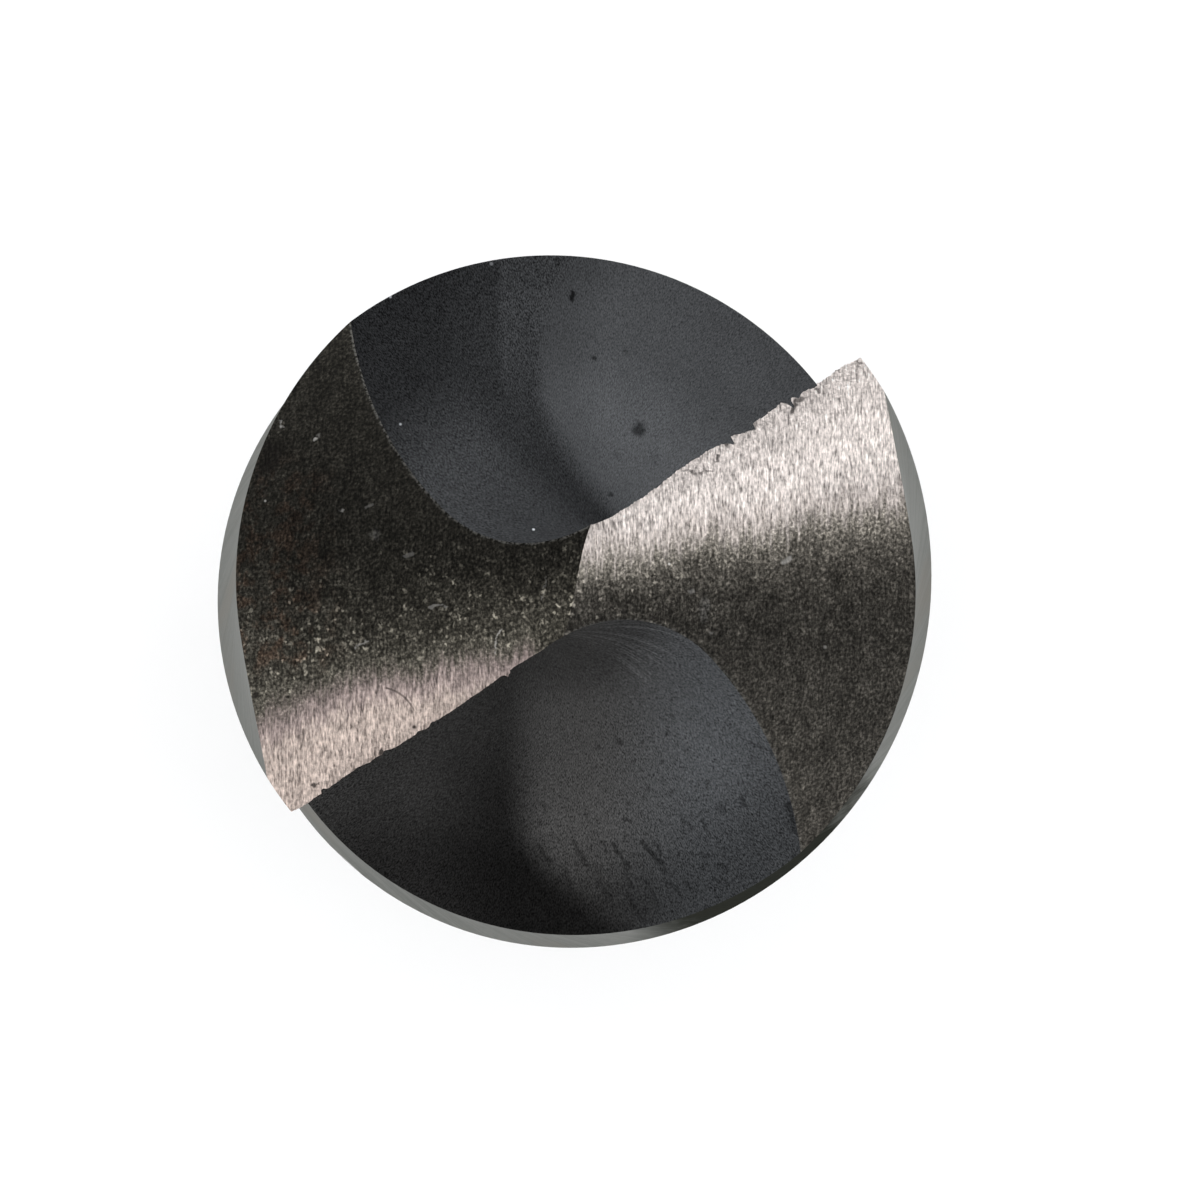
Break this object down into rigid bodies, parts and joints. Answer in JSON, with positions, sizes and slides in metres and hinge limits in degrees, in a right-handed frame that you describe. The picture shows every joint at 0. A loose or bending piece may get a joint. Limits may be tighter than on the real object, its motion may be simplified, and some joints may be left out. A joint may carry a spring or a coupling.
{
  "type": "reduced shank drill bit",
  "caption": "Right-hand two-flute twist drill with a conical point, cleared lands and a plain round shank turned smaller than the cutting diameter.",
  "frame": {"origin": "centre of the shank's end face, on which the drill stands", "axes": "+Z along the drill's axis from the shank end to the point; +X parallel to the two cutting lips at the point"},
  "size_m": [0.0254, 0.0254, 0.1524],
  "materials": {
    "tool_steel": "blackened flutes; point, margins, lands and shank ground bright"
  },
  "bodies": {
    "root": {"drill_bit": "tool_steel"}
  },
  "joints": []
}
